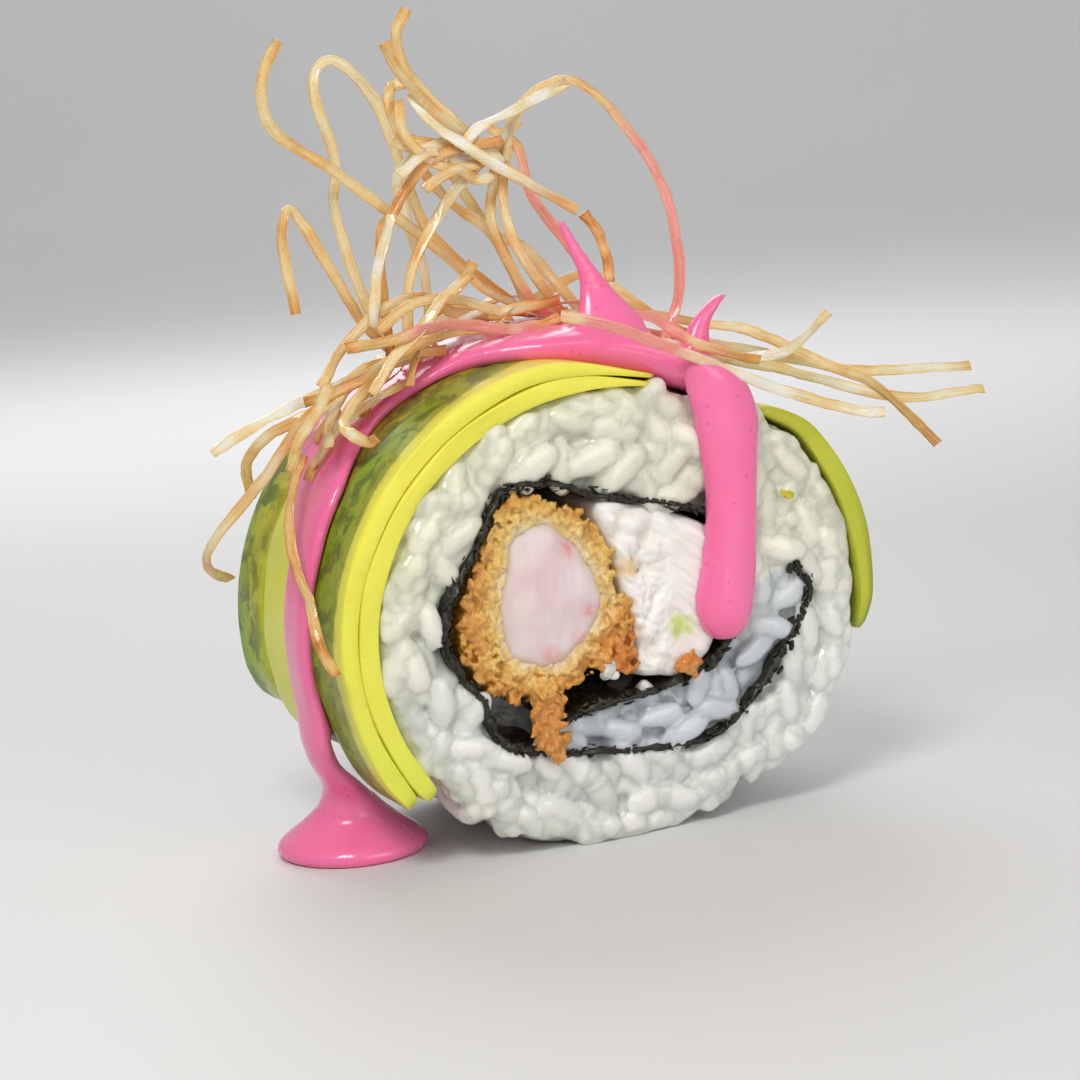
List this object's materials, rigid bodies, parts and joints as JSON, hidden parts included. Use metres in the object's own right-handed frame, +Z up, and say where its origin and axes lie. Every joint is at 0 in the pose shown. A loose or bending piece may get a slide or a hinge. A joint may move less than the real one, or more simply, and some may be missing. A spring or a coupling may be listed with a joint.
{
  "type": "uramaki roll",
  "caption": "Cut piece of uramaki sushi roll with breaded shrimp and cream cheese, wrapped in avocado, topped with pink sauce and crispy fried strands.",
  "frame": {"origin": "on the floor, in the middle of the small flat spot that the roll stands on, under the middle of its length", "axes": "+Z up; Y along the roll's axis, with the cut face that carries the drip towards -Y; +X to the right seen from that face"},
  "size_m": [0.0859, 0.0322, 0.0808],
  "materials": {
    "rice": "moist, translucent cooked rice",
    "nori": "soft, damp seaweed sheet, nearly black",
    "shrimp": "moist, cooked shrimp flesh",
    "crumb_coat": "rough, golden-brown fried crumbs",
    "cream_cheese": "smeared, slightly crumbly fresh cheese",
    "avocado": "smooth, moist avocado flesh, yellow inside and green at the rim",
    "sauce": "thick, opaque pink sauce with a soft shine",
    "crispy_strands": "thin, oily, fibrous fried strands"
  },
  "bodies": {
    "root": {"rice": "rice", "nori": "nori", "shrimp": "shrimp", "crumb_coat": "crumb_coat", "cream_cheese": "cream_cheese", "avocado_front_inner": "avocado", "avocado_front_outer": "avocado", "avocado_middle": "avocado", "avocado_back": "avocado", "avocado_right_front": "avocado", "avocado_right_back": "avocado", "sauce": "sauce", "crispy_strands": "crispy_strands"}
  },
  "joints": []
}
